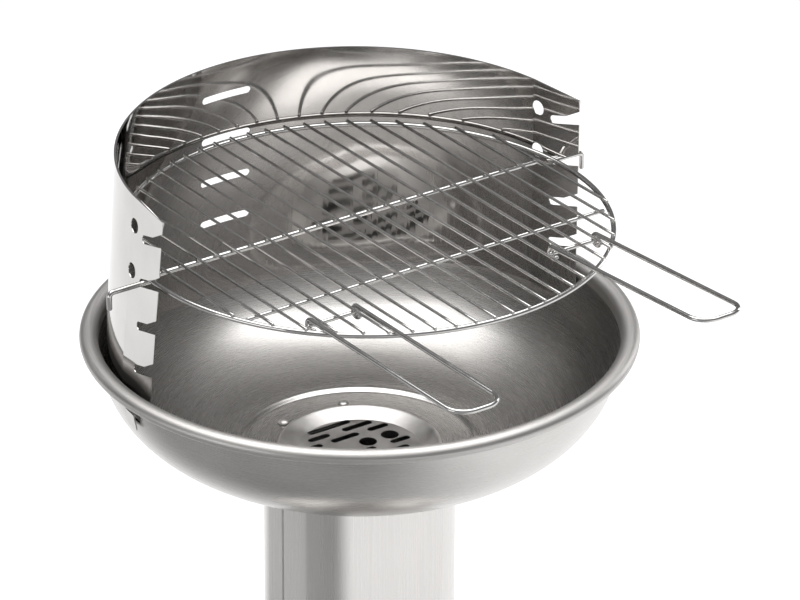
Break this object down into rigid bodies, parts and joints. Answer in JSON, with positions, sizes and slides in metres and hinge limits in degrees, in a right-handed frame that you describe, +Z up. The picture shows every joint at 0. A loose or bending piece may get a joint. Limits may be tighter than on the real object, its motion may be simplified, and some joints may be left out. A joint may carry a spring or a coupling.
{
  "type": "pedestal charcoal grill",
  "caption": "Free-standing charcoal grill: round steel bowl on a rectangular column and round base, with a windshield and a wire cooking grate with folding handles.",
  "frame": {"origin": "centre of the base's flat underside, on the ground", "axes": "+Z up along the column, -Y towards the user's side with the handles, +X to the user's right"},
  "size_m": [0.5854, 0.6999, 0.9024],
  "materials": {
    "satin_steel": "satin stainless sheet, lightly brushed",
    "polished_steel": "bright polished stainless sheet",
    "chrome_wire": "bright chromed wire",
    "zinc_steel": "dull zinc-plated steel",
    "screw_steel": "plain stainless fasteners",
    "cast_iron": "rough cast, dull black",
    "pad_rubber": "dull black rubber"
  },
  "bodies": {
    "pedestal": {"floor_pad": "pad_rubber", "base_weight": "cast_iron", "base_cover": "satin_steel", "column_foot_bracket": "zinc_steel", "column_top_bracket": "zinc_steel", "column_front_shell": "satin_steel", "column_rear_shell": "satin_steel", "bowl": "satin_steel", "windshield": "polished_steel", "windshield_hook_left": "polished_steel", "windshield_hook_right": "polished_steel", "foot_bolt_1": "zinc_steel", "bowl_screw_1": "screw_steel", "bowl_nut_1": "zinc_steel", "foot_bolt_2": "zinc_steel", "bowl_screw_2": "screw_steel", "bowl_nut_2": "zinc_steel", "foot_bolt_3": "zinc_steel", "bowl_screw_3": "screw_steel", "bowl_nut_3": "zinc_steel", "foot_bolt_4": "zinc_steel", "bowl_screw_4": "screw_steel", "bowl_nut_4": "zinc_steel", "column_screw_1": "screw_steel", "column_screw_2": "screw_steel", "column_screw_3": "screw_steel", "column_screw_4": "screw_steel", "column_screw_5": "screw_steel", "column_screw_6": "screw_steel", "column_screw_7": "screw_steel", "column_screw_8": "screw_steel"},
    "ash_cup": {"ash_cup": "zinc_steel", "ash_cup_strap": "zinc_steel"},
    "fire_plate": {"fire_plate": "polished_steel"},
    "grate": {"grate_ring_and_bars": "chrome_wire", "grate_support_wire": "chrome_wire", "grate_cross_wire": "chrome_wire", "handle_anchor_left": "chrome_wire", "handle_anchor_right": "chrome_wire"},
    "left_handle": {"handle_left": "chrome_wire"},
    "right_handle": {"handle_right": "chrome_wire"}
  },
  "joints": [
    {"name": "ash_cup_lift", "type": "slide", "parent": "pedestal", "child": "ash_cup", "axis": [0, 0, 1], "range_m": [0, 0.35]},
    {"name": "fire_plate_lift", "type": "slide", "parent": "pedestal", "child": "fire_plate", "axis": [0, 0, 1], "range_m": [0, 0.2]},
    {"name": "grate_draw_out", "type": "slide", "parent": "pedestal", "child": "grate", "axis": [0, -0.9604, 0.2785], "range_m": [0, 0.5]},
    {"name": "left_handle_fold", "type": "hinge", "parent": "grate", "child": "left_handle", "pos_m": [-0.14667, -0.167, 0.81575], "axis": [-1, 0, 0], "range_deg": [0, 165]},
    {"name": "right_handle_fold", "type": "hinge", "parent": "grate", "child": "right_handle", "pos_m": [0.14313, -0.171, 0.81575], "axis": [-1, 0, 0], "range_deg": [-3.4, 161.6]}
  ]
}
